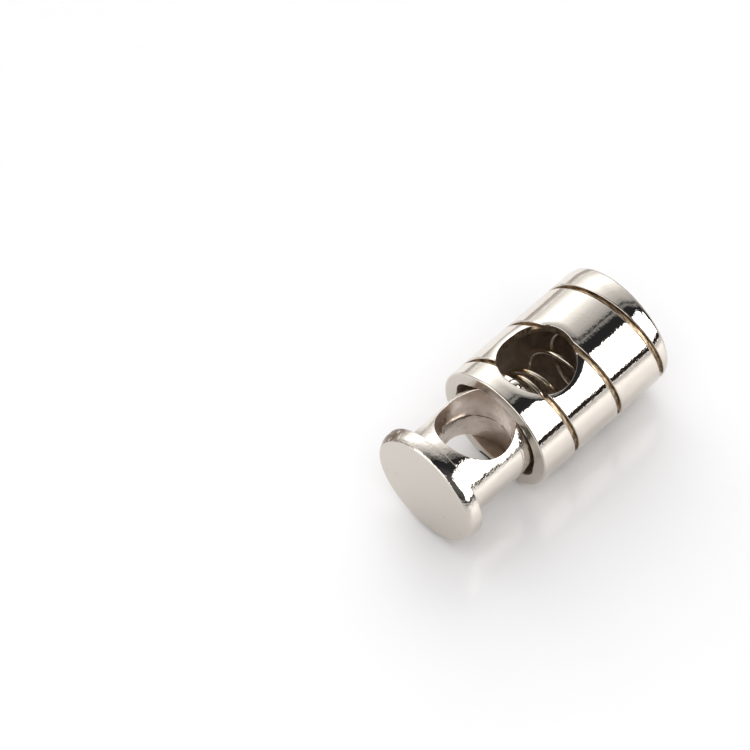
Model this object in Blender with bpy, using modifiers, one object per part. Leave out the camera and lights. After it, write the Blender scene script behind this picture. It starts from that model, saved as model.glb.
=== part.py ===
"""Spring cord lock: a blind barrel, a headed plunger and a compression spring.

The pieces are modelled upright on one axis, with the mouth of the barrel at
z = 0 and its closed end at +Z. The parent empty then lays the lock on its
side, so that the closed end faces +X and the plunger slides along X.
"""
import math

import bmesh
import bpy

MM = 0.001

# Barrel
BARREL_RADIUS = 5.50 * MM
BARREL_LENGTH = 14.20 * MM
BORE_RADIUS = 4.60 * MM
LIP_RADIUS = 4.20 * MM
LIP_DEPTH = 1.30 * MM
FLOOR_THICKNESS = 1.20 * MM
CLOSED_EDGE_RADIUS = 0.60 * MM
MOUTH_EDGE_RADIUS = 0.20 * MM
LIP_CHAMFER = 0.15 * MM
BARREL_HOLE_RADIUS = 3.15 * MM
BARREL_HOLE_FROM_MOUTH = 4.60 * MM

# Helical groove round the barrel
GROOVE_PITCH = 4.80 * MM
GROOVE_WIDTH = 0.60 * MM
GROOVE_DEPTH = 0.42 * MM
GROOVE_FROM_CLOSED_END = 2.20 * MM
GROOVE_RUN_OUT = 1.00 * MM

# Assembly notches in the lip, which the plunger's lugs enter by
NOTCH_RADIUS = 2.00 * MM
NOTCH_CENTRE = 2.50 * MM
NOTCH_ANGLE = 60.0

# Plunger
HEAD_GAP = 6.60 * MM
HEAD_RADIUS = 5.15 * MM
HEAD_THICKNESS = 1.40 * MM
HEAD_FRONT_RADIUS = 0.45 * MM
HEAD_BACK_RADIUS = 0.20 * MM
STEM_RADIUS = 4.00 * MM
STEM_LENGTH = 9.30 * MM
STEM_FILLET = 0.40 * MM
STEM_CHAMFER = 0.30 * MM
STEM_HOLE_WAIST = 2.85 * MM
STEM_HOLE_DRAFT = 0.08
STEM_HOLE_FROM_HEAD = 4.35 * MM
LUG_RADIUS = 0.50 * MM
LUG_REACH = 4.42 * MM
LUG_FROM_MOUTH = 2.10 * MM

# Spring
WIRE_RADIUS = 0.225 * MM
COIL_RADIUS = 2.55 * MM
CLOSED_PITCH = 0.50 * MM
ACTIVE_TURNS = 3.5
SPRING_GAP = 0.30 * MM

# Facets
STEPS = 48
ARC_STEPS = 5
SPRING_STEPS = 24

HEAD_Z = -HEAD_GAP
FRONT_Z = HEAD_Z - HEAD_THICKNESS
STEM_END_Z = HEAD_Z + STEM_LENGTH
FLOOR_Z = BARREL_LENGTH - FLOOR_THICKNESS
HALF_FACET = math.pi / STEPS
AXIS_HEIGHT = BARREL_RADIUS * math.cos(HALF_FACET)
CENTRE_OFFSET = -(BARREL_LENGTH + FRONT_Z) / 2


def clear_scene():
    for item in list(bpy.data.objects):
        bpy.data.objects.remove(item, do_unlink=True)


def new_collection(name):
    collection = bpy.data.collections.new(name)
    bpy.context.scene.collection.children.link(collection)
    return collection


def metal(name, colour, roughness):
    material = bpy.data.materials.new(name)
    material.use_nodes = True
    shader = material.node_tree.nodes["Principled BSDF"]
    shader.inputs["Base Color"].default_value = (*colour, 1.0)
    shader.inputs["Roughness"].default_value = roughness
    shader.inputs["Metallic"].default_value = 1.0
    return material


def lay_down_frame(collection):
    frame = bpy.data.objects.new("lock_axis", None)
    frame.location = (CENTRE_OFFSET, 0.0, AXIS_HEIGHT)
    frame.rotation_euler = (0.0, math.radians(90), 0.0)
    collection.objects.link(frame)
    return frame


def add_mesh(name, bm, collection, parent):
    bmesh.ops.recalc_face_normals(bm, faces=bm.faces)
    mesh = bpy.data.meshes.new(name)
    bm.to_mesh(mesh)
    bm.free()
    item = bpy.data.objects.new(name, mesh)
    collection.objects.link(item)
    item.parent = parent
    return item


def arc(centre_r, centre_z, radius, start, end, steps=ARC_STEPS):
    """Points of an arc in the (radius, height) plane, angles in degrees."""
    points = []
    for i in range(steps + 1):
        angle = math.radians(start + (end - start) * i / steps)
        r = centre_r + radius * math.cos(angle)
        z = centre_z + radius * math.sin(angle)
        points.append((r, z))
    return points


def turned(name, profile, collection, parent):
    """A profile of (radius, height) points swept once round the axis."""
    mesh = bpy.data.meshes.new(name)
    edges = [(i, i + 1) for i in range(len(profile) - 1)]
    mesh.from_pydata([(r, 0.0, z) for r, z in profile], edges, [])
    item = bpy.data.objects.new(name, mesh)
    collection.objects.link(item)
    item.parent = parent
    item.rotation_euler = (0.0, 0.0, HALF_FACET)
    screw = item.modifiers.new("turn", "SCREW")
    screw.axis = "Z"
    screw.angle = 2 * math.pi
    screw.steps = STEPS
    screw.render_steps = STEPS
    screw.use_merge_vertices = True
    screw.merge_threshold = 0.00001
    return item


def barrel_profile():
    edge = CLOSED_EDGE_RADIUS
    rim = MOUTH_EDGE_RADIUS
    points = [(0.0, BARREL_LENGTH)]
    points += arc(BARREL_RADIUS - edge, BARREL_LENGTH - edge, edge, 90, 0)
    points += arc(BARREL_RADIUS - rim, rim, rim, 0, -90, 3)
    points.append((LIP_RADIUS + LIP_CHAMFER, 0.0))
    points.append((LIP_RADIUS, LIP_CHAMFER))
    points.append((LIP_RADIUS, LIP_DEPTH))
    points.append((BORE_RADIUS, LIP_DEPTH))
    points.append((BORE_RADIUS, FLOOR_Z))
    points.append((0.0, FLOOR_Z))
    return points


def plunger_profile():
    front = HEAD_FRONT_RADIUS
    back = HEAD_BACK_RADIUS
    fillet = STEM_FILLET
    points = [(0.0, STEM_END_Z)]
    points.append((STEM_RADIUS - STEM_CHAMFER, STEM_END_Z))
    points.append((STEM_RADIUS, STEM_END_Z - STEM_CHAMFER))
    points += arc(STEM_RADIUS + fillet, HEAD_Z + fillet, fillet, 180, 270, 4)
    points += arc(HEAD_RADIUS - back, HEAD_Z - back, back, 90, 0, 3)
    points += arc(HEAD_RADIUS - front, FRONT_Z + front, front, 0, -90)
    points.append((0.0, FRONT_Z))
    return points


def rod(name, radius, length, segments, collection, parent):
    bm = bmesh.new()
    bmesh.ops.create_cone(
        bm,
        cap_ends=True,
        segments=segments,
        radius1=radius,
        radius2=radius,
        depth=length,
    )
    return add_mesh(name, bm, collection, parent)


def hide_cutter(cutter):
    cutter.hide_render = True
    cutter.display_type = "WIRE"


def combine(target, tool, operation):
    modifier = target.modifiers.new(tool.name, "BOOLEAN")
    modifier.operation = operation
    modifier.solver = "EXACT"
    modifier.object = tool
    hide_cutter(tool)


def cross_hole(name, radius, height, collection, parent):
    """A cylinder across the axis, standing upright in the laid-down lock."""
    hole = rod(name, radius, 4 * BARREL_RADIUS, STEPS, collection, parent)
    hole.location = (0.0, 0.0, height)
    hole.rotation_euler = (0.0, math.radians(90), 0.0)
    return hole


def waisted_hole(name, height, collection, parent):
    """The stem's cross hole: two drafted halves that meet at the middle."""
    reach = 2 * BARREL_RADIUS
    wide = STEM_HOLE_WAIST + STEM_HOLE_DRAFT * reach
    profile = [(0.0, reach), (wide, reach), (STEM_HOLE_WAIST, 0.0)]
    profile += [(wide, -reach), (0.0, -reach)]
    hole = turned(name, profile, collection, parent)
    hole.location = (0.0, 0.0, height)
    hole.rotation_euler = (0.0, math.radians(90), 0.0)
    return hole


def groove_cutter(collection, parent):
    """A square section swept along a right-handed helix past both ends."""
    step = 2 * HALF_FACET
    rise = GROOVE_PITCH * step / (2 * math.pi)
    top_height = BARREL_LENGTH - GROOVE_FROM_CLOSED_END
    before = top_height + GROOVE_RUN_OUT
    count_before = math.ceil(before / rise)
    start_angle = math.pi + HALF_FACET - count_before * step
    start_height = top_height + rise / 2 - count_before * rise
    count = math.ceil((BARREL_LENGTH + 2 * GROOVE_RUN_OUT) / rise)

    inner = BARREL_RADIUS - GROOVE_DEPTH
    outer = BARREL_RADIUS + GROOVE_DEPTH
    half = GROOVE_WIDTH / 2
    corners = [(inner, -half), (outer, -half), (outer, half), (inner, half)]
    bm = bmesh.new()
    ring = []
    for r, z in corners:
        x = r * math.cos(start_angle)
        y = r * math.sin(start_angle)
        ring.append(bm.verts.new((x, y, start_height + z)))
    face = bm.faces.new(ring)
    bmesh.ops.spin(
        bm,
        geom=list(face.verts) + list(face.edges) + [face],
        axis=(0.0, 0.0, 1.0),
        cent=(0.0, 0.0, 0.0),
        dvec=(0.0, 0.0, rise),
        angle=count * step,
        steps=count,
    )
    return add_mesh("groove_cutter", bm, collection, parent)


def notch_cutter(index, collection, parent):
    """A keyway for one lug, open at the mouth and as deep as the lip."""
    angle = math.pi - math.radians(NOTCH_ANGLE + 180 * index)
    length = 2 * LIP_DEPTH + 0.6 * MM
    name = f"notch_cutter_{index + 1}"
    cutter = rod(name, NOTCH_RADIUS, length, 24, collection, parent)
    x = NOTCH_CENTRE * math.cos(angle)
    y = NOTCH_CENTRE * math.sin(angle)
    cutter.location = (x, y, 0.0)
    return cutter


def make_barrel(parts, cutters, frame):
    barrel = turned("barrel", barrel_profile(), parts, frame)
    hole = cross_hole(
        "barrel_hole_cutter",
        BARREL_HOLE_RADIUS,
        BARREL_HOLE_FROM_MOUTH,
        cutters,
        frame,
    )
    for index in range(2):
        combine(barrel, notch_cutter(index, cutters, frame), "DIFFERENCE")
    combine(barrel, hole, "DIFFERENCE")
    combine(barrel, groove_cutter(cutters, frame), "DIFFERENCE")
    barrel.data.materials.append(metal("barrel_nickel", (0.70, 0.67, 0.63), 0.12))
    return barrel


def lug(index, cutters, frame):
    """A short round stud that stands out of the stem's inner end."""
    length = LUG_REACH - STEM_RADIUS / 2
    name = f"lug_{index + 1}"
    stud = rod(name, LUG_RADIUS, length, 16, cutters, frame)
    side = -1 if index == 0 else 1
    middle = side * (LUG_REACH - length / 2)
    stud.location = (middle, 0.0, LUG_FROM_MOUTH)
    stud.rotation_euler = (0.0, math.radians(90), 0.0)
    return stud


def make_plunger(parts, cutters, frame):
    plunger = turned("plunger", plunger_profile(), parts, frame)
    height = HEAD_Z + STEM_HOLE_FROM_HEAD
    hole = waisted_hole("stem_hole_cutter", height, cutters, frame)
    combine(plunger, hole, "DIFFERENCE")
    for index in range(2):
        combine(plunger, lug(index, cutters, frame), "UNION")
    plunger.data.materials.append(metal("plunger_nickel", (0.72, 0.69, 0.65), 0.14))
    return plunger


def spring_points():
    """Points along the coil, with one closed turn at each end."""
    low = STEM_END_Z + SPRING_GAP + WIRE_RADIUS
    high = FLOOR_Z - SPRING_GAP - WIRE_RADIUS
    active_pitch = (high - low - 2 * CLOSED_PITCH) / ACTIVE_TURNS
    turns = ACTIVE_TURNS + 2
    points = []
    for i in range(round(turns * SPRING_STEPS) + 1):
        turn = i / SPRING_STEPS
        closed = min(turn, 1.0) + max(turn - 1.0 - ACTIVE_TURNS, 0.0)
        active = turn - closed
        z = low + closed * CLOSED_PITCH + active * active_pitch
        angle = 2 * math.pi * turn
        x = COIL_RADIUS * math.cos(angle)
        y = COIL_RADIUS * math.sin(angle)
        points.append((x, y, z))
    return points


def make_spring(parts, frame):
    curve = bpy.data.curves.new("spring", "CURVE")
    curve.dimensions = "3D"
    curve.bevel_depth = WIRE_RADIUS
    curve.bevel_resolution = 2
    curve.use_fill_caps = True
    points = spring_points()
    spline = curve.splines.new("POLY")
    spline.points.add(len(points) - 1)
    for point, place in zip(spline.points, points):
        point.co = (*place, 1.0)
    spring = bpy.data.objects.new("spring", curve)
    parts.objects.link(spring)
    spring.parent = frame
    curve.materials.append(metal("spring_steel", (0.62, 0.60, 0.57), 0.25))
    return spring


def main():
    clear_scene()
    parts = new_collection("cord_lock")
    cutters = new_collection("cutters")
    frame = lay_down_frame(parts)
    make_barrel(parts, cutters, frame)
    make_plunger(parts, cutters, frame)
    make_spring(parts, frame)


main()
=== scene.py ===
"""Looks of the metal cord lock: grooved barrel, headed plunger and spring."""

import math

import bmesh
import bpy
from mathutils import Matrix, Vector
from mathutils.noise import fractal


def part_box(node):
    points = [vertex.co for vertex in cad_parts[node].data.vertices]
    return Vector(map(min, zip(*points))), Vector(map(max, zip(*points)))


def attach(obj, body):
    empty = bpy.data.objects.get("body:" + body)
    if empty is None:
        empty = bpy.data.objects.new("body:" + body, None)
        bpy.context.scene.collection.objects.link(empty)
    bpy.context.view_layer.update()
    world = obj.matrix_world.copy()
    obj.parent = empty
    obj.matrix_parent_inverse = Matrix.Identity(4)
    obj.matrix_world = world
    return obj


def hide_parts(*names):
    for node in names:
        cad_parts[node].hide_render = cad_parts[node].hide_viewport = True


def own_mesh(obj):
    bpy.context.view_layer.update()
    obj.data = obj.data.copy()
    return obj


bl_info = {
    "name": "Cord Lock Builder",
    "version": (1, 0, 0),
    "blender": (4, 5, 0),
    "location": "View3D > Sidebar > Cord Lock",
    "description": "Builds a nickel-plated barrel cord lock on its packed frame",
    "category": "Object",
}

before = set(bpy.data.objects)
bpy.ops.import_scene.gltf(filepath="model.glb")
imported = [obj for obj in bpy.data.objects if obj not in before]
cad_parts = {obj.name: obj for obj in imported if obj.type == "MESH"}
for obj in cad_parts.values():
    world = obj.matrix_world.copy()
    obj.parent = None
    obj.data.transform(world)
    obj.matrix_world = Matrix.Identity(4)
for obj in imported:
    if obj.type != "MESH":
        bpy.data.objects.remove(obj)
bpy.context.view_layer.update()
BARREL_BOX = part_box("barrel")
PLUNGER_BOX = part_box("plunger")
SPRING_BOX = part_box("spring")

MM = 0.001
MICRON = 1e-6
TURN_STEPS = 288
HOLE_STEPS = 192
MOUTH_X = BARREL_BOX[0].x
BARREL_LENGTH = BARREL_BOX[1].x - BARREL_BOX[0].x
BARREL_RADIUS = round((BARREL_BOX[1].y - BARREL_BOX[0].y) / 2, 5)
AXIS_HEIGHT = BARREL_RADIUS * math.cos(math.pi / 48)
AXIS_LINE = (0.0, 0.0, AXIS_HEIGHT)
PLUNGER_FRONT = PLUNGER_BOX[0].x - MOUTH_X

# Material slots: the barrel has the first five, the plunger the first three
POLISHED, SATIN, TARNISHED, BARE, GROOVE = range(5)
CAST = TARNISHED

# The pieces are shaped upright, mouth of the barrel at z = 0 and its closed
# end up, and this turns them to lie along X where the frame has them.
LAY_DOWN = Matrix.Translation((MOUTH_X, 0.0, AXIS_HEIGHT)) @ Matrix.Rotation(
    math.radians(90), 4, "Y"
)


class CordLockBarrel(bpy.types.PropertyGroup):
    """Sizes of the grooved barrel"""

    closed_edge: bpy.props.FloatProperty(
        name="Closed Edge Radius",
        description="Rounding of the barrel's closed end",
        default=0.42 * MM,
        subtype="DISTANCE",
    )
    crown: bpy.props.FloatProperty(
        name="Crown",
        description="How far the wall draws in before the closed end's rounding",
        default=0.08 * MM,
        subtype="DISTANCE",
    )
    crown_length: bpy.props.FloatProperty(
        name="Crown Length",
        description="Length over which the wall draws in",
        default=0.80 * MM,
        subtype="DISTANCE",
    )
    mouth_edge: bpy.props.FloatProperty(
        name="Mouth Edge Radius",
        description="Rounding of the barrel's open end",
        default=0.16 * MM,
        subtype="DISTANCE",
    )
    bore: bpy.props.FloatProperty(
        name="Bore Radius",
        description="Radius of the blind bore behind the lip",
        default=4.60 * MM,
        subtype="DISTANCE",
    )
    lip: bpy.props.FloatProperty(
        name="Lip Radius",
        description="Radius of the narrower bore at the mouth",
        default=4.20 * MM,
        subtype="DISTANCE",
    )
    lip_depth: bpy.props.FloatProperty(
        name="Lip Depth",
        description="Length of the narrower bore",
        default=1.30 * MM,
        subtype="DISTANCE",
    )
    floor: bpy.props.FloatProperty(
        name="Floor Thickness",
        description="Metal left behind the blind bore",
        default=1.20 * MM,
        subtype="DISTANCE",
    )
    hole: bpy.props.FloatProperty(
        name="Cord Hole Radius",
        description="Radius of the hole across the barrel",
        default=3.15 * MM,
        subtype="DISTANCE",
    )
    hole_from_mouth: bpy.props.FloatProperty(
        name="Cord Hole Position",
        description="Distance of the cross hole from the mouth",
        default=4.60 * MM,
        subtype="DISTANCE",
    )
    hole_edge: bpy.props.FloatProperty(
        name="Cord Hole Edge",
        description="Rounding of the rim of the cross hole",
        default=0.05 * MM,
        subtype="DISTANCE",
    )
    groove_pitch: bpy.props.FloatProperty(
        name="Groove Pitch",
        description="Rise of the spiral groove in one turn",
        default=4.80 * MM,
        subtype="DISTANCE",
    )
    groove_width: bpy.props.FloatProperty(
        name="Groove Width",
        description="Width of the spiral groove",
        default=0.44 * MM,
        subtype="DISTANCE",
    )
    groove_depth: bpy.props.FloatProperty(
        name="Groove Depth",
        description="Depth of the spiral groove",
        default=0.42 * MM,
        subtype="DISTANCE",
    )
    groove_edge: bpy.props.FloatProperty(
        name="Groove Edge",
        description="Rounding of the groove's two edges",
        default=0.10 * MM,
        subtype="DISTANCE",
    )
    groove_start: bpy.props.FloatProperty(
        name="Groove Start",
        description="Distance of the groove from the closed end, above the hole",
        default=2.20 * MM,
        subtype="DISTANCE",
    )


class CordLockPlunger(bpy.types.PropertyGroup):
    """Sizes of the plunger"""

    head: bpy.props.FloatProperty(
        name="Head Radius",
        description="Radius of the push head",
        default=5.15 * MM,
        subtype="DISTANCE",
    )
    head_thickness: bpy.props.FloatProperty(
        name="Head Thickness",
        description="Thickness of the push head",
        default=1.40 * MM,
        subtype="DISTANCE",
    )
    head_front: bpy.props.FloatProperty(
        name="Head Front Edge",
        description="Rounding of the head's front edge",
        default=0.13 * MM,
        subtype="DISTANCE",
    )
    rim_swell: bpy.props.FloatProperty(
        name="Rim Swell",
        description="Radius of the bulge of the head's rim towards its face",
        default=1.30 * MM,
        subtype="DISTANCE",
    )
    rim_lean: bpy.props.FloatProperty(
        name="Rim Lean",
        description="How far the rim leans in at its face, in degrees",
        default=36.0,
    )
    head_back: bpy.props.FloatProperty(
        name="Head Back Edge",
        description="Rounding of the head's back edge",
        default=0.14 * MM,
        subtype="DISTANCE",
    )
    face_crown: bpy.props.FloatProperty(
        name="Face Crown",
        description="How far the middle of the push face stands out",
        default=0.08 * MM,
        subtype="DISTANCE",
    )
    stem: bpy.props.FloatProperty(
        name="Stem Radius",
        description="Radius of the stem",
        default=4.00 * MM,
        subtype="DISTANCE",
    )
    stem_length: bpy.props.FloatProperty(
        name="Stem Length",
        description="Length of the stem behind the head",
        default=9.30 * MM,
        subtype="DISTANCE",
    )
    hole: bpy.props.FloatProperty(
        name="Lower Waist",
        description="Radius of the cross hole's lower half, at its middle",
        default=2.80 * MM,
        subtype="DISTANCE",
    )
    hole_top: bpy.props.FloatProperty(
        name="Upper Waist",
        description="Radius of the cross hole's upper half, at its middle",
        default=2.94 * MM,
        subtype="DISTANCE",
    )
    mismatch: bpy.props.FloatProperty(
        name="Mismatch",
        description="Shift of the hole's lower half towards the stem's end",
        default=0.22 * MM,
        subtype="DISTANCE",
    )
    draft: bpy.props.FloatProperty(
        name="Cord Hole Draft",
        description="How much the hole widens for each unit from its middle",
        default=0.06,
    )
    flash: bpy.props.FloatProperty(
        name="Flash",
        description="Height of the ragged line where the hole's halves meet",
        default=0.15 * MM,
        subtype="DISTANCE",
    )
    hole_from_head: bpy.props.FloatProperty(
        name="Cord Hole Position",
        description="Distance of the cross hole from the head's inner face",
        default=4.35 * MM,
        subtype="DISTANCE",
    )
    hole_edge: bpy.props.FloatProperty(
        name="Cord Hole Edge",
        description="Rounding of the rim of the cross hole",
        default=0.07 * MM,
        subtype="DISTANCE",
    )
    lug: bpy.props.FloatProperty(
        name="Lug Radius",
        description="Radius of the two lugs that hold the stem in",
        default=0.62 * MM,
        subtype="DISTANCE",
    )
    lug_reach: bpy.props.FloatProperty(
        name="Lug Reach",
        description="Distance of a lug's tip from the axis",
        default=4.42 * MM,
        subtype="DISTANCE",
    )


class CordLockSpring(bpy.types.PropertyGroup):
    """Sizes of the spring"""

    wire: bpy.props.FloatProperty(
        name="Wire Radius",
        description="Radius of the spring wire",
        default=0.225 * MM,
        subtype="DISTANCE",
    )
    coil: bpy.props.FloatProperty(
        name="Coil Radius",
        description="Radius of the coil at the middle of the wire",
        default=2.55 * MM,
        subtype="DISTANCE",
    )
    active_turns: bpy.props.FloatProperty(
        name="Active Turns",
        description="Open turns between the two closed ones",
        default=3.5,
        min=1.0,
    )
    tilt: bpy.props.FloatProperty(
        name="End Turn Tilt",
        description="How far the closed turn by the stem leans away from it",
        default=0.62 * MM,
        subtype="DISTANCE",
    )
    seat_gap: bpy.props.FloatProperty(
        name="Seat Gap",
        description="Play left at each end of the spring",
        default=0.04 * MM,
        subtype="DISTANCE",
    )


class CordLockFinish(bpy.types.PropertyGroup):
    """Colours of the metals"""

    nickel: bpy.props.FloatVectorProperty(
        name="Nickel",
        description="Colour of the bright plating",
        subtype="COLOR",
        size=3,
        default=(0.66, 0.612, 0.55),
        min=0.0,
        max=1.0,
    )
    tarnish: bpy.props.FloatVectorProperty(
        name="Tarnish",
        description="Brown tint in the groove and the holes",
        subtype="COLOR",
        size=3,
        default=(0.34, 0.26, 0.175),
        min=0.0,
        max=1.0,
    )
    stain: bpy.props.FloatVectorProperty(
        name="Stain",
        description="Brown of the worn patch on the head's rim",
        subtype="COLOR",
        size=3,
        default=(0.125, 0.075, 0.038),
        min=0.0,
        max=1.0,
    )
    bare: bpy.props.FloatVectorProperty(
        name="Bare Bore",
        description="Dull colour of the thinly plated bore",
        subtype="COLOR",
        size=3,
        default=(0.50, 0.38, 0.29),
        min=0.0,
        max=1.0,
    )
    steel: bpy.props.FloatVectorProperty(
        name="Spring Steel",
        description="Colour of the spring wire",
        subtype="COLOR",
        size=3,
        default=(0.88, 0.79, 0.66),
        min=0.0,
        max=1.0,
    )


class CordLockStage(bpy.types.PropertyGroup):
    """The view and the table"""

    azimuth: bpy.props.FloatProperty(
        name="Camera Azimuth",
        description="Direction the camera looks in, 0 along +Y",
        default=-45.45,
    )
    elevation: bpy.props.FloatProperty(
        name="Camera Elevation",
        description="Height of the camera above the horizon, in degrees",
        default=57.42,
    )
    lens: bpy.props.FloatProperty(
        name="Lens",
        description="Focal length of the camera in millimetres",
        default=400.0,
    )
    floor: bpy.props.FloatVectorProperty(
        name="Floor",
        description="Colour of the table",
        subtype="COLOR",
        size=3,
        default=(0.86, 0.855, 0.86),
        min=0.0,
        max=1.0,
    )


def group(name):
    """The scene's settings of one property group."""
    return getattr(bpy.context.scene, f"cordlock_{name}")


# ---------------------------------------------------------------- meshes


def arc(centre_r, centre_z, radius, start, end, steps):
    """Points of an arc in the (radius, height) plane, angles in degrees."""
    points = []
    for i in range(steps + 1):
        angle = math.radians(start + (end - start) * i / steps)
        r = centre_r + radius * math.cos(angle)
        z = centre_z + radius * math.sin(angle)
        points.append((r, z))
    return points


def profile_edges(bm, points):
    """A chain of edges through (radius, height) points at angle 0."""
    verts = [bm.verts.new((r, 0.0, z)) for r, z in points]
    edges = [bm.edges.new(pair) for pair in zip(verts, verts[1:])]
    return verts + edges


def turn_profile(points, steps=TURN_STEPS):
    """A closed turned solid from a profile that ends on the axis."""
    bm = bmesh.new()
    bmesh.ops.spin(
        bm,
        geom=profile_edges(bm, points),
        cent=(0.0, 0.0, 0.0),
        axis=(0.0, 0.0, 1.0),
        angle=2 * math.pi,
        steps=steps,
        use_merge=True,
    )
    bmesh.ops.remove_doubles(bm, verts=bm.verts, dist=1e-7)
    bmesh.ops.recalc_face_normals(bm, faces=bm.faces)
    return bm


def to_object(name, bm):
    """Moves a bmesh into a new object of the scene."""
    mesh = bpy.data.meshes.new(name)
    bm.to_mesh(mesh)
    bm.free()
    piece = bpy.data.objects.new(name, mesh)
    bpy.context.scene.collection.objects.link(piece)
    return piece


def cylinder(radius, length, segments, matrix):
    """A capped cylinder, centred where the matrix puts it."""
    bm = bmesh.new()
    bmesh.ops.create_cone(
        bm,
        cap_ends=True,
        segments=segments,
        radius1=radius,
        radius2=radius,
        depth=length,
        matrix=matrix,
    )
    return bm


def cut(piece, tools, operation="DIFFERENCE"):
    """Applies one exact Boolean for each tool and removes the tools."""
    for tool in tools:
        modifier = piece.modifiers.new(tool.name, "BOOLEAN")
        modifier.operation = operation
        modifier.solver = "EXACT"
        modifier.object = tool
    graph = bpy.context.evaluated_depsgraph_get()
    mesh = bpy.data.meshes.new_from_object(piece.evaluated_get(graph))
    settle_order(mesh)
    piece.modifiers.clear()
    old = piece.data
    piece.data = mesh
    bpy.data.meshes.remove(old)
    for tool in tools:
        data = tool.data
        bpy.data.objects.remove(tool)
        bpy.data.meshes.remove(data)
    return piece


def settle_order(mesh):
    """Puts corners and faces in an order of their own, the same on every run."""
    slant = Vector((1.0, 0.731, 0.413))
    corners = [vert.co.copy() for vert in mesh.vertices]
    order = sorted(range(len(corners)), key=lambda index: corners[index].dot(slant))
    rank = {old: place for place, old in enumerate(order)}
    faces = []
    for face in mesh.polygons:
        ring = [rank[index] for index in face.vertices]
        first = ring.index(min(ring))
        faces.append(ring[first:] + ring[:first])
    mesh.clear_geometry()
    mesh.from_pydata([corners[index] for index in order], [], sorted(faces))
    mesh.update()


def across(height):
    """Turns a cylinder to stand across the axis at this height."""
    return Matrix.Translation((0.0, 0.0, height)) @ Matrix.Rotation(
        math.radians(90), 4, "Y"
    )


def off_hole(point, height, radius, draft=0.0):
    """How far a point is from the wall of a cross hole, which may taper."""
    wall = radius + draft * abs(point.x)
    return abs(math.hypot(point.y, point.z - height) - wall)


def round_rims(bm, height, radius, width, least_r, draft=0.0, side=0):
    """Rounds the edges where a cross hole of this radius meets a wall."""
    near = 0.02 * MM
    spacing = 0.035 * MM
    crease = 0.5
    rim = []
    for vert in bm.verts:
        on_hole = off_hole(vert.co, height, radius, draft) < near
        on_hole = on_hole and vert.co.x * side >= 0
        if on_hole and math.hypot(vert.co.x, vert.co.y) > least_r:
            rim.append(vert)
    bmesh.ops.remove_doubles(bm, verts=rim, dist=spacing)
    edges = []
    for edge in bm.edges:
        if len(edge.link_faces) != 2 or edge.calc_face_angle(0.0) < crease:
            continue
        on_hole = True
        for vert in edge.verts:
            off = off_hole(vert.co, height, radius, draft)
            out = math.hypot(vert.co.x, vert.co.y)
            on_hole = on_hole and off < near and out > least_r
            on_hole = on_hole and vert.co.x * side >= 0
        if on_hole:
            edges.append(edge)
    bmesh.ops.bevel(
        bm,
        geom=edges,
        offset=width,
        offset_type="OFFSET",
        segments=3,
        profile=0.5,
        affect="EDGES",
        clamp_overlap=False,
        material=-1,
    )
    bmesh.ops.remove_doubles(bm, verts=bm.verts, dist=0.004 * MM)


def finish_piece(piece, materials, pick, sharp=32.0, walls=()):
    """Lays the piece down, picks a finish for each face and smooths it."""
    mesh = piece.data
    mesh.materials.clear()
    for material in materials:
        mesh.materials.append(material)
    for face in mesh.polygons:
        face.material_index = pick(face.center, face.normal)
    mesh.shade_smooth()
    mesh.set_sharp_from_angle(angle=math.radians(sharp))
    true_wall_normals(mesh, walls)
    mesh.transform(LAY_DOWN)
    return piece


def true_wall_normals(mesh, walls):
    """Exactly round shading on straight walls of these radii."""
    if not walls:
        return
    normals = [Vector(corner.vector) for corner in mesh.corner_normals]
    for face in mesh.polygons:
        if abs(face.normal.z) > 0.02:
            continue
        places = [mesh.vertices[i].co for i in face.vertices]
        for wall in walls:
            off = [abs(math.hypot(co.x, co.y) - wall) for co in places]
            outward = face.normal.x * face.center.x + face.normal.y * face.center.y
            if max(off) < 3 * MICRON and outward > 0:
                for loop, co in zip(face.loop_indices, places):
                    normals[loop] = Vector((co.x, co.y, 0.0)).normalized()
    mesh.normals_split_custom_set(normals)


def grooved_tube(b):
    """The barrel's outer wall with its right-handed spiral groove."""
    pitch = b.groove_pitch
    half = b.groove_width / 2
    deep = BARREL_RADIUS - b.groove_depth
    edge = b.groove_edge
    corner = 0.06 * MM
    steps = TURN_STEPS
    turns = 5
    # the top, local -X, is half a turn from where the spiral begins
    turns_to_top = 3.5
    base = BARREL_LENGTH - b.groove_start - turns_to_top * pitch

    points = [(BARREL_RADIUS, -pitch / 2)]
    points.append((BARREL_RADIUS, -pitch / 4))
    points += arc(BARREL_RADIUS - edge, -half - edge, edge, 0, 90, 3)
    points += arc(deep + corner, -half + corner, corner, 270, 180, 2)
    points += arc(deep + corner, half - corner, corner, 180, 90, 2)
    points += arc(BARREL_RADIUS - edge, half + edge, edge, -90, 0, 3)
    points.append((BARREL_RADIUS, pitch / 4))
    points.append((BARREL_RADIUS, pitch / 2))
    bm = bmesh.new()
    bmesh.ops.spin(
        bm,
        geom=profile_edges(bm, [(r, base + z) for r, z in points]),
        cent=(0.0, 0.0, 0.0),
        axis=(0.0, 0.0, 1.0),
        dvec=(0.0, 0.0, pitch / steps),
        angle=2 * math.pi * turns,
        steps=steps * turns,
    )
    bmesh.ops.remove_doubles(bm, verts=bm.verts, dist=1e-6)
    return bm


def slice_at(bm, height, clear_below=False, clear_above=False):
    """Cuts the wall level at a height, and may drop what is past the cut."""
    bmesh.ops.bisect_plane(
        bm,
        geom=list(bm.verts) + list(bm.edges) + list(bm.faces),
        dist=1e-8,
        plane_co=(0.0, 0.0, height),
        plane_no=(0.0, 0.0, 1.0),
        clear_inner=clear_below,
        clear_outer=clear_above,
    )


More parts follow.
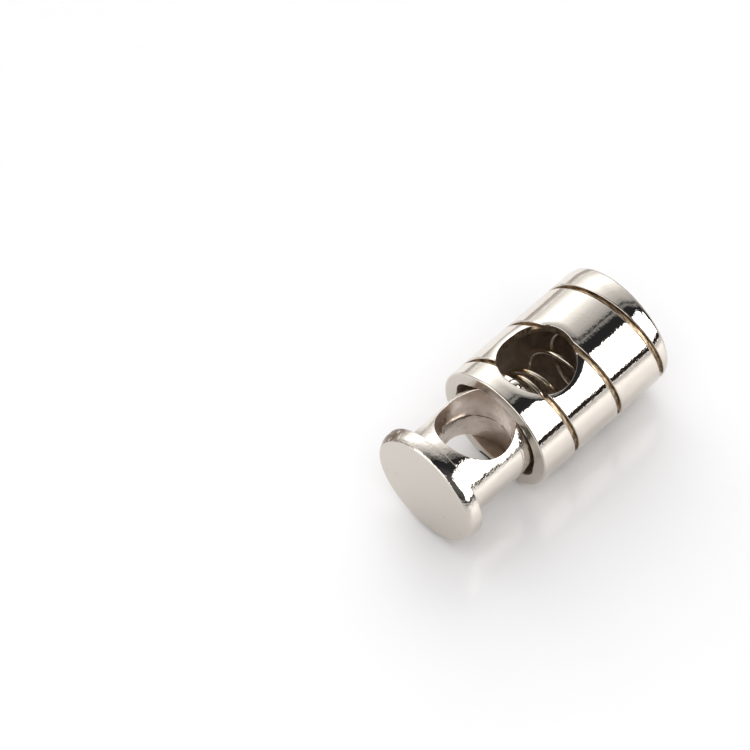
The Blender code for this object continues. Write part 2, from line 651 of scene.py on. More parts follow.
def rim_radius(z, b):
    """Outer radius of the barrel at a height, with both rounded ends."""
    low = b.mouth_edge - z
    high = z - (BARREL_LENGTH - b.closed_edge)
    drawn = (high + b.crown_length) / b.crown_length
    inset = b.crown * min(max(drawn, 0.0), 1.0) ** 2
    if low > 0:
        inset = b.mouth_edge - math.sqrt(max(b.mouth_edge**2 - low**2, 0.0))
    elif high > 0:
        inset += b.closed_edge - math.sqrt(max(b.closed_edge**2 - high**2, 0.0))
    return BARREL_RADIUS - inset


def close_ends(bm, top):
    """Fills the two open ends of the tube with flat faces."""
    border = 0.05 * MM
    for height in (0.0, top):
        loop = []
        for edge in bm.edges:
            level = all(abs(v.co.z - height) < 1e-6 for v in edge.verts)
            if level and edge.is_boundary:
                loop.append(edge)
        made = bmesh.ops.edgeloop_fill(bm, edges=loop)
        bmesh.ops.inset_region(
            bm,
            faces=made["faces"],
            thickness=border,
            use_even_offset=True,
            use_boundary=True,
        )


def barrel_body(b):
    """The solid barrel: grooved wall, drawn-in and rounded ends."""
    bm = grooved_tube(b)
    slice_at(bm, 0.0, clear_below=True)
    slice_at(bm, BARREL_LENGTH, clear_above=True)
    for i in range(7):
        rise = b.closed_edge * math.sin(math.radians(13 * i))
        slice_at(bm, BARREL_LENGTH - b.closed_edge + rise)
    for i in range(1, 6):
        slice_at(bm, BARREL_LENGTH - b.closed_edge - b.crown_length * i / 5)
    for i in range(3):
        slice_at(bm, b.mouth_edge * (1 - math.sin(math.radians(30 * i))))
    for vert in bm.verts:
        r = math.hypot(vert.co.x, vert.co.y)
        depth = BARREL_RADIUS - r
        scale = (rim_radius(vert.co.z, b) - depth) / r
        vert.co.x *= scale
        vert.co.y *= scale
    close_ends(bm, BARREL_LENGTH)
    bmesh.ops.remove_doubles(bm, verts=bm.verts, dist=1e-7)
    bmesh.ops.recalc_face_normals(bm, faces=bm.faces)
    return to_object("barrel_shell", bm)


def bore_tool(b):
    """The stepped blind bore, with a small flare at the mouth."""
    flare = 0.14 * MM
    top = BARREL_LENGTH - b.floor
    points = [(0.0, top)]
    points += arc(b.bore - 0.25 * MM, top - 0.25 * MM, 0.25 * MM, 90, 0, 4)
    points.append((b.bore, b.lip_depth + 0.02 * MM))
    points.append((b.lip + 0.03 * MM, b.lip_depth))
    points.append((b.lip, b.lip_depth - 0.03 * MM))
    points += arc(b.lip + flare, flare, flare, 180, 270, 4)
    points.append((b.lip + flare, -0.5 * MM))
    points.append((0.0, -0.5 * MM))
    return to_object("bore_tool", turn_profile(points))


def notch_tool(b, index):
    """A keyway through the lip, where a lug of the stem goes in."""
    angle = math.pi - math.radians(60 + 180 * index)
    place = Vector((math.cos(angle), math.sin(angle), 0.0)) * 2.5 * MM
    bm = cylinder(2.0 * MM, 2 * b.lip_depth + 0.6 * MM, 96, Matrix.Translation(place))
    return to_object(f"notch_tool_{index}", bm)


# ------------------------------------------------------------- materials


def new_metal(name, roughness):
    """A metal with an empty node tree around its shader."""
    material = bpy.data.materials.new(name)
    material.use_nodes = True
    tree = material.node_tree
    shader = tree.nodes["Principled BSDF"]
    shader.inputs["Metallic"].default_value = 1.0
    shader.inputs["Roughness"].default_value = roughness
    return material, tree, shader


def object_coordinates(tree, centre=(0.0, 0.0, 0.0), scale=(1.0, 1.0, 1.0)):
    """Object coordinates measured from a centre and stretched."""
    place = tree.nodes.new("ShaderNodeTexCoord")
    mapping = tree.nodes.new("ShaderNodeMapping")
    mapping.vector_type = "POINT"
    mapping.inputs["Location"].default_value = [
        -c * s for c, s in zip(centre, scale)
    ]
    mapping.inputs["Scale"].default_value = scale
    tree.links.new(place.outputs["Object"], mapping.inputs["Vector"])
    return mapping.outputs["Vector"]


def noise(tree, vector, scale, detail=3.0, roughness=0.5, kind="FBM"):
    node = tree.nodes.new("ShaderNodeTexNoise")
    node.noise_type = kind
    node.inputs["Scale"].default_value = scale
    node.inputs["Detail"].default_value = detail
    node.inputs["Roughness"].default_value = roughness
    tree.links.new(vector, node.inputs["Vector"])
    return node.outputs["Fac"]


def remap(tree, value, low, high, out_low, out_high):
    """Stretches low..high to out_low..out_high and stops at the ends."""
    node = tree.nodes.new("ShaderNodeMapRange")
    node.inputs["From Min"].default_value = low
    node.inputs["From Max"].default_value = high
    node.inputs["To Min"].default_value = out_low
    node.inputs["To Max"].default_value = out_high
    tree.links.new(value, node.inputs["Value"])
    return node.outputs["Result"]


def math_node(tree, operation, a, b):
    node = tree.nodes.new("ShaderNodeMath")
    node.operation = operation
    for socket, value in zip(node.inputs, (a, b)):
        if isinstance(value, (int, float)):
            socket.default_value = value
        else:
            tree.links.new(value, socket)
    return node.outputs["Value"]


def blend_colours(tree, factor, first, second, kind="MIX"):
    """Mixes two colours, each a constant or a socket."""
    node = tree.nodes.new("ShaderNodeMix")
    node.data_type = "RGBA"
    node.blend_type = kind
    sockets = {s.name: s for s in node.inputs if s.type == "RGBA"}
    for name, value in (("A", first), ("B", second)):
        if isinstance(value, bpy.types.NodeSocket):
            tree.links.new(value, sockets[name])
        else:
            sockets[name].default_value = (*value, 1.0)
    if isinstance(factor, bpy.types.NodeSocket):
        tree.links.new(factor, node.inputs["Factor"])
    else:
        node.inputs["Factor"].default_value = factor
    return next(s for s in node.outputs if s.type == "RGBA")


def bump(tree, shader, microns):
    """Raises the surface by a height in microns."""
    node = tree.nodes.new("ShaderNodeBump")
    node.inputs["Strength"].default_value = 1.0
    node.inputs["Distance"].default_value = MICRON
    tree.links.new(microns, node.inputs["Height"])
    tree.links.new(node.outputs["Normal"], shader.inputs["Normal"])


def shade(colour, amount):
    """A colour made darker or lighter."""
    return tuple(min(1.0, c * amount) for c in colour)


def weighted(tree, value, weight):
    return math_node(tree, "MULTIPLY", value, weight)


def stack(tree, values):
    """The sum of several values."""
    total = values[0]
    for value in values[1:]:
        total = math_node(tree, "ADD", total, value)
    return total


def surface_relief(tree, centre, fine, slow):
    """Turned rings, grain and slow waves of a plated casting, in microns."""
    rings = object_coordinates(tree, centre, (1.0, 0.25, 0.25))
    plain = object_coordinates(tree, centre)
    ring_waves = noise(tree, rings, 5200.0, 1.0)
    grain = noise(tree, plain, 4600.0, 2.0, 0.55)
    waves = noise(tree, plain, 900.0, 0.0)
    return stack(
        tree,
        [
            weighted(tree, ring_waves, 0.8 * fine),
            weighted(tree, grain, fine),
            weighted(tree, waves, slow),
        ],
    )


def spot(tree, place, inner, outer):
    """1 near a point and 0 away from it."""
    coordinates = tree.nodes.new("ShaderNodeTexCoord")
    distance = tree.nodes.new("ShaderNodeVectorMath")
    distance.operation = "DISTANCE"
    distance.inputs[1].default_value = place
    tree.links.new(coordinates.outputs["Object"], distance.inputs[0])
    return remap(tree, distance.outputs["Value"], inner, outer, 1.0, 0.0)


def hole_dish(tree, hole_x, radius, width, depth):
    """The wall dips a little all round a hole that stands upright."""
    line = object_coordinates(tree, (hole_x, 0.0, 0.0), (1.0, 1.0, 0.0))
    length = tree.nodes.new("ShaderNodeVectorMath")
    length.operation = "LENGTH"
    tree.links.new(line, length.inputs[0])
    away = length.outputs["Value"]
    near = remap(tree, away, radius, radius + width, 1.0, 0.0)
    return weighted(tree, math_node(tree, "POWER", near, 2.0), -depth)


def polished_nickel(name, finish, centre, fine, slow, dish=None, stain=None):
    """Bright plating over turned metal: rings, soft waves and fine grain."""
    material, tree, shader = new_metal(name, 0.05)
    plain = object_coordinates(tree, centre)
    patches = noise(tree, plain, 700.0, 4.0, 0.6)
    tint = remap(tree, patches, 0.35, 0.7, 0.0, 1.0)
    colour = blend_colours(
        tree, tint, finish.nickel, shade(finish.nickel, 0.96)
    )
    rough = remap(tree, patches, 0.3, 0.75, 0.02, 0.06)
    heights = [surface_relief(tree, centre, fine, slow)]
    if dish:
        heights.append(hole_dish(tree, *dish))
    if stain:
        cloud = noise(tree, plain, 2600.0, 3.0, 0.6)
        near = spot(tree, stain, 1.0 * MM, 2.3 * MM)
        worn = remap(tree, cloud, 0.36, 0.47, 0.0, 1.0)
        amount = weighted(tree, near, worn)
        colour = blend_colours(tree, amount, colour, finish.stain)
        rough = math_node(tree, "ADD", rough, weighted(tree, amount, 0.3))
        pits = weighted(tree, cloud, near)
        heights.append(weighted(tree, pits, 40.0))
    tree.links.new(colour, shader.inputs["Base Color"])
    tree.links.new(rough, shader.inputs["Roughness"])
    bump(tree, shader, stack(tree, heights))
    return material


def satin_nickel(name, finish, centre):
    """Plating over a flat cast face: soft, a little cloudy, with specks."""
    material, tree, shader = new_metal(name, 0.2)
    plain = object_coordinates(tree, centre)
    clouds = noise(tree, plain, 260.0, 3.0, 0.55)
    grain = noise(tree, plain, 5200.0, 3.0, 0.6)
    specks = noise(tree, plain, 1900.0, 1.0, 0.5)
    tint = remap(tree, specks, 0.70, 0.78, 0.0, 1.0)
    colour = blend_colours(
        tree, tint, shade(finish.nickel, 0.94), shade(finish.nickel, 0.7)
    )
    tree.links.new(colour, shader.inputs["Base Color"])
    rough = remap(tree, clouds, 0.3, 0.75, 0.17, 0.28)
    tree.links.new(rough, shader.inputs["Roughness"])
    heights = [weighted(tree, grain, 2.0), weighted(tree, clouds, 20.0)]
    bump(tree, shader, stack(tree, heights))
    return material


def tarnished_nickel(name, finish, centre, light, dark):
    """Groove and barrel hole: thin plating, streaked brown and gold."""
    material, tree, shader = new_metal(name, 0.4)
    along = object_coordinates(tree, centre, (1.0, 0.2, 0.2))
    plain = object_coordinates(tree, centre)
    streaks = noise(tree, along, 6200.0, 3.0, 0.6)
    grain = noise(tree, plain, 4200.0, 3.0, 0.6)
    tint = remap(tree, streaks, 0.36, 0.62, 0.0, 1.0)
    colour = blend_colours(
        tree, tint, shade(finish.tarnish, light), shade(finish.tarnish, dark)
    )
    tree.links.new(colour, shader.inputs["Base Color"])
    rough = remap(tree, streaks, 0.3, 0.7, 0.34, 0.52)
    tree.links.new(rough, shader.inputs["Roughness"])
    heights = [weighted(tree, grain, 14.0), weighted(tree, streaks, 20.0)]
    bump(tree, shader, stack(tree, heights))
    return material


def cast_nickel(name, finish, centre, stain):
    """Wall of the plunger's hole: plating over a rough casting, half dull."""
    material, tree, shader = new_metal(name, 0.28)
    plain = object_coordinates(tree, centre)
    patches = noise(tree, plain, 420.0, 4.0, 0.6)
    grain = noise(tree, plain, 5200.0, 3.0, 0.6)
    waves = noise(tree, plain, 1500.0, 1.0)
    brown = weighted(tree, spot(tree, stain, 0.6 * MM, 2.4 * MM), 0.9)
    tint = remap(tree, patches, 0.46, 0.72, 0.0, 0.6)
    tint = math_node(tree, "MAXIMUM", tint, brown)
    pale = (finish.nickel[0] * 1.22, finish.nickel[1] * 1.16, finish.nickel[2] * 1.16)
    colour = blend_colours(tree, tint, pale, finish.tarnish)
    tree.links.new(colour, shader.inputs["Base Color"])
    rough = remap(tree, patches, 0.3, 0.7, 0.24, 0.38)
    tree.links.new(rough, shader.inputs["Roughness"])
    heights = [weighted(tree, grain, 6.0), weighted(tree, waves, 16.0)]
    bump(tree, shader, stack(tree, heights))
    return material


def bare_bore(name, finish, centre):
    """Inside of the bore: dull, dark and brownish, with turning marks."""
    material, tree, shader = new_metal(name, 0.5)
    shader.inputs["Metallic"].default_value = 0.55
    rings = object_coordinates(tree, centre, (1.0, 0.15, 0.15))
    plain = object_coordinates(tree, centre)
    marks = noise(tree, rings, 3400.0, 2.0, 0.5)
    patches = noise(tree, plain, 800.0, 4.0, 0.6)
    tint = remap(tree, patches, 0.35, 0.65, 0.0, 1.0)
    colour = blend_colours(tree, tint, finish.bare, shade(finish.bare, 0.6))
    tree.links.new(colour, shader.inputs["Base Color"])
    rough = remap(tree, patches, 0.3, 0.7, 0.38, 0.55)
    tree.links.new(rough, shader.inputs["Roughness"])
    bump(tree, shader, weighted(tree, marks, 20.0))
    return material


def drawn_wire(name, finish, centre):
    """Spring steel: bright drawn wire with faint streaks."""
    material, tree, shader = new_metal(name, 0.22)
    plain = object_coordinates(tree, centre)
    streaks = noise(tree, plain, 2600.0, 3.0, 0.6)
    tint = remap(tree, streaks, 0.35, 0.7, 0.0, 1.0)
    colour = blend_colours(tree, tint, finish.steel, shade(finish.steel, 0.86))
    tree.links.new(colour, shader.inputs["Base Color"])
    rough = remap(tree, streaks, 0.3, 0.7, 0.13, 0.20)
    tree.links.new(rough, shader.inputs["Roughness"])
    bump(tree, shader, weighted(tree, streaks, 2.0))
    return material


# ------------------------------------------------------------- operators


class CORDLOCK_OT_barrel(bpy.types.Operator):
    """Build the barrel with its spiral groove, cross hole and blind bore"""

    bl_idname = "cordlock.barrel"
    bl_label = "Build Barrel"

    def execute(self, context):
        b = group("barrel")
        height = b.hole_from_mouth
        body = barrel_body(b)
        hole = cylinder(b.hole, 4 * BARREL_RADIUS, HOLE_STEPS, across(height))
        tools = [
            bore_tool(b),
            notch_tool(b, 0),
            notch_tool(b, 1),
            to_object("hole_tool", hole),
        ]
        cut(body, tools)
        bm = bmesh.new()
        bm.from_mesh(body.data)
        round_rims(bm, height, b.hole, b.hole_edge, b.bore - 0.1 * MM)
        bm.to_mesh(body.data)
        bm.free()

        def pick(centre, normal):
            r = math.hypot(centre.x, centre.y)
            deep = BARREL_RADIUS - r
            from_end = min(centre.z, BARREL_LENGTH - centre.z)
            outward = (centre.x * normal.x + centre.y * normal.y) / max(r, 1e-9)
            on_hole = off_hole(centre, height, b.hole) < 0.06 * MM
            if on_hole and deep > 0.12 * MM:
                return TARNISHED
            if outward < -0.5 and deep > 0.6 * MM:
                return BARE
            if r < b.bore - 0.1 * MM and from_end > 0.2 * MM:
                return BARE
            if abs(normal.z) > 0.995:
                return SATIN
            if deep > 0.1 * MM and 0.5 * MM < centre.z < BARREL_LENGTH - 0.6 * MM:
                return GROOVE
            return POLISHED

        finish = group("finish")
        dish = (MOUTH_X + height, b.hole, 0.65 * MM, 150.0)
        metals = [
            polished_nickel("barrel_polished", finish, AXIS_LINE, 6.0, 3.0, dish),
            satin_nickel("barrel_satin", finish, AXIS_LINE),
            tarnished_nickel("barrel_tarnished", finish, AXIS_LINE, 1.5, 0.5),
            bare_bore("barrel_bare", finish, AXIS_LINE),
            tarnished_nickel("barrel_groove", finish, AXIS_LINE, 1.8, 0.45),
        ]
        finish_piece(body, metals, pick, walls=(BARREL_RADIUS,))
        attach(body, "barrel_body")
        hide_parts("barrel")
        return {"FINISHED"}


class CORDLOCK_OT_plunger(bpy.types.Operator):
    """Build the plunger with its push head, cross hole and lugs"""

    bl_idname = "cordlock.plunger"
    bl_label = "Build Plunger"

    def execute(self, context):
        p = group("plunger")
        front = PLUNGER_FRONT
        back = front + p.head_thickness
        end = back + p.stem_length
        height = back + p.hole_from_head
        step = p.stem + 0.28 * MM
        points = [(0.0, end)]
        points += arc(p.stem - 0.3 * MM, end - 0.3 * MM, 0.3 * MM, 90, 0, 4)
        points += arc(step, back + 0.42 * MM, 0.28 * MM, 180, 270, 4)
        points.append((step + 0.10 * MM, back + 0.12 * MM))
        points += arc(step + 0.22 * MM, back + 0.12 * MM, 0.12 * MM, 180, 270, 3)
        points += arc(p.head - p.head_back, back - p.head_back, p.head_back, 90, 0, 4)
        lean = math.radians(p.rim_lean)
        slope = p.rim_swell * math.sin(lean) + p.head_front * (1 - math.sin(lean))
        centre_r = p.head - p.rim_swell
        edge = front + p.face_crown
        points += arc(centre_r, edge + slope, p.rim_swell, 0, -p.rim_lean, 8)
        centre_r += (p.rim_swell - p.head_front) * math.cos(lean)
        points += arc(
            centre_r, edge + p.head_front, p.head_front, -p.rim_lean, -90, 6
        )[1:]
        for i in range(7, -1, -1):
            share = i / 8
            points.append((centre_r * share, front + p.face_crown * share**2))
        body = to_object("plunger_body", turn_profile(points))
        # local -X is up when the lock lies down
        halves = ((-1, height, p.hole_top), (1, height + p.mismatch, p.hole))
        cut(body, [self.half_hole(p, *half) for half in halves])
        bm = bmesh.new()
        bm.from_mesh(body.data)
        for side, centre, radius in halves:
            round_rims(
                bm, centre, radius, p.hole_edge, p.stem - 0.4 * MM, p.draft, side
            )
        bm.to_mesh(body.data)
        bm.free()
        joined = [self.lug(p, side) for side in (-1, 1)]
        joined.append(self.flash_line(p, height + p.mismatch))
        cut(body, joined, "UNION")

        def pick(centre, normal):
            r = math.hypot(centre.x, centre.y)
            upper = centre.x < 0
            half = halves[0] if upper else halves[1]
            off = off_hole(centre, half[1], half[2], p.draft)
            near = math.hypot(centre.y, centre.z - height) < p.hole + 0.6 * MM
            ledge = near and abs(centre.x) < 0.1 * MM
            if ledge:
                return POLISHED
            if off < 0.03 * MM and r < p.stem - 0.06 * MM:
                return CAST
            if abs(normal.z) > 0.995 and centre.z < 0:
                return SATIN
            return POLISHED

        finish = group("finish")
        roll = math.radians(54)
        rim = p.head - 0.3 * MM
        stain = (
            MOUTH_X + front + 0.8 * p.head_thickness,
            rim * math.sin(roll),
            AXIS_HEIGHT + rim * math.cos(roll),
        )
        brown = (MOUTH_X + height - 2.6 * MM, 1.6 * MM, AXIS_HEIGHT + 1.8 * MM)
        dish = (MOUTH_X + height, 3.1 * MM, 0.5 * MM, 60.0)
        metals = [
            polished_nickel(
                "plunger_polished", finish, AXIS_LINE, 17.0, 20.0, dish, stain
            ),
            satin_nickel("plunger_satin", finish, AXIS_LINE),
            cast_nickel("plunger_cast", finish, AXIS_LINE, brown),
        ]
        finish_piece(body, metals, pick, walls=(p.stem, p.head))
        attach(body, "plunger_body")
        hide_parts("plunger")
        return {"FINISHED"}

    def half_hole(self, p, side, height, radius):
        """One drafted half of the hole, from the middle out to one side."""
        reach = 2 * BARREL_RADIUS
        wide = radius + p.draft * reach
        past = -0.04 * MM if side < 0 else 0.0
        points = [(0.0, reach), (wide, reach), (radius, past), (0.0, past)]
        bm = turn_profile([(r, side * z) for r, z in points], HOLE_STEPS)
        bmesh.ops.transform(bm, matrix=across(height), verts=bm.verts)
        return to_object("hole_tool", bm)

    def flash_line(self, p, height):
        """A thin ragged ridge round the waist of the hole."""
        wide = p.hole + 0.25 * MM
        half = 0.06 * MM
        bm = bmesh.new()
        tip = bm.verts.new((p.hole - p.flash, 0.0, 0.0))
        above = bm.verts.new((wide, 0.0, half))
        below = bm.verts.new((wide, 0.0, -half))
        face = bm.faces.new((tip, above, below))
        bmesh.ops.spin(
            bm,
            geom=[tip, above, below, *face.edges],
            cent=(0.0, 0.0, 0.0),
            axis=(0.0, 0.0, 1.0),
            angle=2 * math.pi,
            steps=HOLE_STEPS,
            use_merge=True,
        )
        bmesh.ops.delete(bm, geom=[face], context="FACES_ONLY")
        for vert in bm.verts:
            if math.hypot(vert.co.x, vert.co.y) < p.hole:
                rough = fractal(vert.co * 2200.0, 1.0, 2.0, 3)
                push = 1.0 + (0.3 + 0.9 * rough) * p.flash / p.hole
                vert.co.x *= push
                vert.co.y *= push
                vert.co.z += 0.03 * MM * fractal(vert.co * 1500.0, 1.0, 2.0, 2)
        bmesh.ops.recalc_face_normals(bm, faces=bm.faces)
        bmesh.ops.transform(bm, matrix=across(height), verts=bm.verts)
        return to_object("flash_tool", bm)

    def lug(self, p, side):
        """A low dome that stands out of the stem's inner end."""
        base = p.stem - 0.1 * MM
        rise = p.lug_reach - base
        points = []
        for r, z in arc(0.0, 0.0, p.lug, 90, 0, 10):
            points.append((r, base + z * rise / p.lug))
        points.append((p.lug, base - 0.6 * MM))
        points.append((0.0, base - 0.6 * MM))
        bm = turn_profile(points, 32)
        turn = Matrix.Rotation(math.radians(90 * side), 4, "Y")
        place = Matrix.Translation((0.0, 0.0, 2.1 * MM))
        bmesh.ops.transform(bm, matrix=place @ turn, verts=bm.verts)
        return to_object(f"lug_tool_{side}", bm)


class CORDLOCK_OT_spring(bpy.types.Operator):
    """Build the compression spring between the plunger and the bore's floor"""

    bl_idname = "cordlock.spring"
    bl_label = "Build Spring"

    def execute(self, context):
        s = group("spring")
        p = group("plunger")
        b = group("barrel")
        low = PLUNGER_FRONT + p.head_thickness + p.stem_length + s.seat_gap + s.wire
        high = BARREL_LENGTH - b.floor - s.seat_gap - s.wire
        closed = 2 * s.wire + 0.02 * MM
        active = (high - low - 2 * closed) / s.active_turns
        turns = s.active_turns + 2
        parts = 24
        steps = round(turns * parts)
        bm = bmesh.new()
        across_wire = Matrix.Translation((s.coil, 0.0, low)) @ Matrix.Rotation(
            math.radians(90), 4, "X"
        )
        made = bmesh.ops.create_circle(
            bm, cap_ends=True, radius=s.wire, segments=14, matrix=across_wire
        )
        front = list(bm.faces) + list(bm.edges) + made["verts"]
        climbed = 0.0
        for i in range(steps):
            turn = (i + 0.5) / parts
            ease = min(turn, turns - turn) - 0.75
            ease = min(max(ease / 0.5, 0.0), 1.0)
            ease = ease * ease * (3 - 2 * ease)
            rise = (closed + (active - closed) * ease) / parts
            if turn < 1.0:
                rise += s.tilt * math.sin(2 * math.pi * turn) * math.pi / parts
            climbed += rise
            made = bmesh.ops.spin(
                bm,
                geom=front,
                cent=(0.0, 0.0, 0.0),
                axis=(0.0, 0.0, 1.0),
                dvec=(0.0, 0.0, rise),
                angle=2 * math.pi / parts,
                steps=1,
            )
            front = made["geom_last"]
        bmesh.ops.remove_doubles(bm, verts=bm.verts, dist=1e-7)
        stretch = (high - low) / climbed
        for vert in bm.verts:
            vert.co.z = low + (vert.co.z - low) * stretch
        bmesh.ops.recalc_face_normals(bm, faces=bm.faces)
        coil = to_object("spring_coil", bm)
        finish = group("finish")
        wire = drawn_wire("spring_wire", finish, (0.0, 0.0, AXIS_HEIGHT))
        finish_piece(coil, [wire], lambda centre, normal: 0, 60.0)
        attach(coil, "barrel_body")
        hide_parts("spring")
        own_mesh(coil)
        return {"FINISHED"}


def studio_direction(azimuth, elevation):
    """A direction round the camera: azimuth 0 is its right, 90 is away."""
    turn = math.radians(azimuth + group("stage").azimuth)
    rise = math.radians(elevation)
    return Vector(
        (
            math.cos(rise) * math.cos(turn),
            math.cos(rise) * math.sin(turn),
            math.sin(rise),
        )
    )


def soft_light(name, azimuth, elevation, distance, size, radiance, seen=True):
    """A soft panel that the metal shows, or one that only lights the table."""
    light = bpy.data.lights.new(name, "AREA")
    light.shape = "RECTANGLE"
    light.size, light.size_y = size
    light.energy = radiance * math.pi * size[0] * size[1]
    lamp = bpy.data.objects.new(name, light)
    bpy.context.scene.collection.objects.link(lamp)
    direction = studio_direction(azimuth, elevation)
    lamp.location = direction * distance
    lamp.rotation_mode = "QUATERNION"
    lamp.rotation_quaternion = direction.to_track_quat("Z", "Y")
    lamp.visible_camera = False
    lamp.visible_diffuse = not seen
    lamp.visible_glossy = seen
    return lamp


def table_surface():
    """A round white table just under the lock."""
    bm = bmesh.new()
    bmesh.ops.create_circle(bm, cap_ends=True, radius=3.0, segments=96)
    bmesh.ops.bevel(
        bm,
        geom=list(bm.edges),
        offset=0.01,
        segments=2,
        profile=0.5,
        affect="EDGES",
        material=-1,
    )
    table = to_object("table", bm)
    table.location = (0.0, 0.0, -0.02 * MM)
    material = bpy.data.materials.new("white_table")
    material.use_nodes = True
    tree = material.node_tree
    shader = tree.nodes["Principled BSDF"]
    shader.inputs["Roughness"].default_value = 0.22
    plain = object_coordinates(tree)
    haze = noise(tree, plain, 30.0, 3.0, 0.5)
    tint = remap(tree, haze, 0.3, 0.7, 0.0, 1.0)
    colour = group("stage").floor
    mixed = blend_colours(tree, tint, colour, shade(colour, 0.985))
    tree.links.new(mixed, shader.inputs["Base Color"])
    table.data.materials.append(material)


def card(name, size, place, azimuth, colour):
    """A card on the table that only the metal shows."""
    bm = bmesh.new()
    bmesh.ops.create_cube(bm, size=1.0)
    bmesh.ops.scale(bm, vec=size, verts=bm.verts)
    bmesh.ops.translate(bm, vec=place, verts=bm.verts)
    turn = math.radians(azimuth + group("stage").azimuth)
    bmesh.ops.rotate(
        bm, verts=bm.verts, cent=(0, 0, 0), matrix=Matrix.Rotation(turn, 3, "Z")
    )
    piece = to_object(name, bm)
    piece.visible_camera = False
    piece.visible_diffuse = False
    piece.visible_shadow = False
    material = bpy.data.materials.new(name)
    material.use_nodes = True
    shader = material.node_tree.nodes["Principled BSDF"]
    shader.inputs["Base Color"].default_value = (*colour, 1.0)
    shader.inputs["Roughness"].default_value = 0.9
    shader.inputs["Specular IOR Level"].default_value = 0.0
    piece.data.materials.append(material)


def ramp(tree, value, stops):
    """A colour ramp from (position, brightness, tint) stops."""
    node = tree.nodes.new("ShaderNodeValToRGB")
    elements = node.color_ramp.elements
    while len(elements) > 1:
        elements.remove(elements[-1])
    for i, (position, level, tint) in enumerate(stops):
        element = elements[0] if i == 0 else elements.new(position)
        element.position = position
        element.color = (*(level * t for t in tint), 1.0)
    tree.links.new(value, node.inputs["Fac"])
    return node.outputs["Color"]


def studio_world():
    """A white wall far left that fades overhead into a dark ceiling."""
    world = bpy.data.worlds.new("studio")
    world.use_nodes = True
    bpy.context.scene.world = world
    tree = world.node_tree
    tree.nodes.clear()
    place = tree.nodes.new("ShaderNodeTexCoord")
    toward = tree.nodes.new("ShaderNodeVectorMath")
    toward.operation = "DOT_PRODUCT"
    toward.inputs[1].default_value = studio_direction(110.0, 0.0)
    tree.links.new(place.outputs["Generated"], toward.inputs[0])
    share = remap(tree, toward.outputs["Value"], -1.0, 1.0, 0.0, 1.0)
    cool = (0.85, 0.86, 1.0)
    white = (1.0, 1.0, 1.0)
    # positions are (1 + cosine to the wall) / 2, levels a third of the light
    wall = ramp(
        tree,
        share,
        [
            (0.0, 0.060, white),
            (0.30, 0.020, cool),
            (0.40, 0.011, cool),
            (0.508, 0.011, cool),
            (0.514, 0.085, white),
            (0.548, 0.120, white),
            (0.554, 0.020, white),
            (0.574, 0.020, white),
            (0.581, 0.120, white),
            (0.64, 0.20, white),
            (0.76, 0.30, white),
            (0.87, 0.52, white),
            (0.905, 1.0, white),
        ],
    )
    split = tree.nodes.new("ShaderNodeSeparateXYZ")
    tree.links.new(place.outputs["Generated"], split.inputs["Vector"])
    low = ramp(
        tree,
        split.outputs["Z"],
        [
            (0.0, 0.32, white),
            (0.13, 0.43, white),
            (0.25, 0.56, white),
            (0.42, 1.0, white),
        ],
    )
    both = blend_colours(tree, 1.0, wall, low, "MULTIPLY")
    light = tree.nodes.new("ShaderNodeBackground")
    light.inputs["Strength"].default_value = 3.0
    tree.links.new(both, light.inputs["Color"])
    plain = tree.nodes.new("ShaderNodeBackground")
    plain.inputs["Color"].default_value = (0.92, 0.92, 0.93, 1.0)
    rays = tree.nodes.new("ShaderNodeLightPath")
    mix = tree.nodes.new("ShaderNodeMixShader")
    out = tree.nodes.new("ShaderNodeOutputWorld")
    tree.links.new(rays.outputs["Is Camera Ray"], mix.inputs["Fac"])
    tree.links.new(light.outputs["Background"], mix.inputs[1])
    tree.links.new(plain.outputs["Background"], mix.inputs[2])
    tree.links.new(mix.outputs["Shader"], out.inputs["Surface"])


def studio_camera():
    """The camera, with the lock to the right of the middle."""
    stage = group("stage")
    data = bpy.data.cameras.new("camera")
    data.lens = stage.lens
    data.sensor_width = 36.0
    camera = bpy.data.objects.new("camera", data)
    bpy.context.scene.collection.objects.link(camera)
    turn = math.radians(stage.azimuth)
    rise = math.radians(stage.elevation)
    back = Vector(
        (
            math.sin(turn) * math.cos(rise),
            -math.cos(turn) * math.cos(rise),
            math.sin(rise),
        )
    )
    right = Vector((math.cos(turn), math.sin(turn), 0.0))
    # shares of the view's width: the barrel's radius, and its middle's offset
    radius_share = 0.09324
    offset_share = 0.2435
    distance = BARREL_RADIUS * data.lens / (data.sensor_width * radius_share)
    aim = Vector((MOUTH_X + BARREL_LENGTH / 2, 0.0, AXIS_HEIGHT))
    aim -= right * (offset_share * data.sensor_width / data.lens * distance)
    camera.location = aim + back * distance
    camera.rotation_mode = "QUATERNION"
    camera.rotation_quaternion = (-back).to_track_quat("-Z", "Y")
    data.clip_start = 0.01
    data.clip_end = 20.0
    bpy.context.scene.camera = camera


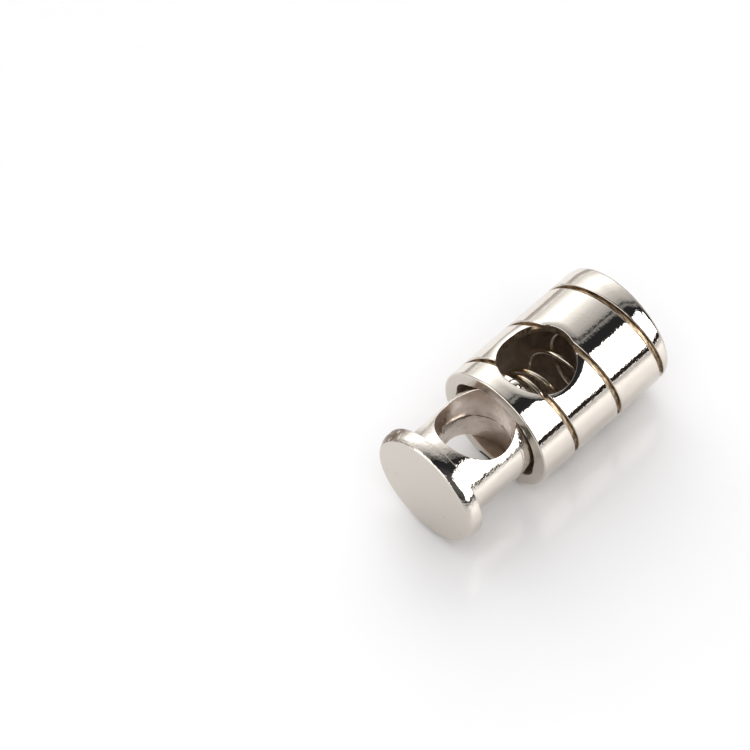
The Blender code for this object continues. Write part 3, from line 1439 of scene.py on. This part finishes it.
class CORDLOCK_OT_stage(bpy.types.Operator):
    """Build the table, the studio lights and the camera"""

    bl_idname = "cordlock.stage"
    bl_label = "Build Stage"

    def execute(self, context):
        table_surface()
        dark = (0.03, 0.025, 0.025)
        grey = (0.50, 0.475, 0.455)
        pale = (0.62, 0.60, 0.58)
        card("flag", (0.001, 0.22, 0.012), (0.085, 0.0, 0.0067), -20.0, dark)
        card("near_strip", (0.024, 0.24, 0.0004), (0.050, 0.0, 0.0004), 112.0, grey)
        card("far_strip", (0.048, 0.30, 0.0004), (0.086, 0.0, 0.0004), 112.0, pale)
        studio_world()
        soft_light("right_softbox", -25.0, 28.5, 0.6, (0.62, 0.54), 4.5)
        soft_light("front_softbox", 215.0, 24.0, 0.6, (0.8, 0.5), 1.8)
        soft_light("table_fill", 100.0, 84.0, 1.6, (3.4, 3.4), 0.78, seen=False)
        soft_light("near_fill", -80.0, 55.0, 1.6, (2.4, 1.8), 0.95, seen=False)
        studio_camera()
        context.scene.view_settings.view_transform = "Standard"
        return {"FINISHED"}


class CORDLOCK_PT_panel(bpy.types.Panel):
    """Sizes, colours and build buttons of the cord lock"""

    bl_idname = "CORDLOCK_PT_panel"
    bl_label = "Cord Lock"
    bl_space_type = "VIEW_3D"
    bl_region_type = "UI"
    bl_category = "Cord Lock"

    def draw(self, context):
        layout = self.layout
        for name, properties in GROUPS.items():
            settings = getattr(context.scene, f"cordlock_{name}")
            layout.label(text=name.title())
            for field in properties.__annotations__:
                layout.prop(settings, field)
        for operator in OPERATORS:
            layout.operator(operator.bl_idname)


GROUPS = {
    "barrel": CordLockBarrel,
    "plunger": CordLockPlunger,
    "spring": CordLockSpring,
    "finish": CordLockFinish,
    "stage": CordLockStage,
}
OPERATORS = (
    CORDLOCK_OT_barrel,
    CORDLOCK_OT_plunger,
    CORDLOCK_OT_spring,
    CORDLOCK_OT_stage,
)


def register():
    for name, properties in GROUPS.items():
        bpy.utils.register_class(properties)
        pointer = bpy.props.PointerProperty(type=properties)
        setattr(bpy.types.Scene, f"cordlock_{name}", pointer)
    for operator in OPERATORS:
        bpy.utils.register_class(operator)
    bpy.utils.register_class(CORDLOCK_PT_panel)


def unregister():
    bpy.utils.unregister_class(CORDLOCK_PT_panel)
    for operator in reversed(OPERATORS):
        bpy.utils.unregister_class(operator)
    for name, properties in reversed(GROUPS.items()):
        delattr(bpy.types.Scene, f"cordlock_{name}")
        bpy.utils.unregister_class(properties)


def main():
    register()
    bpy.ops.cordlock.barrel()
    bpy.ops.cordlock.plunger()
    bpy.ops.cordlock.spring()
    bpy.ops.cordlock.stage()


if __name__ == "__main__":
    main()
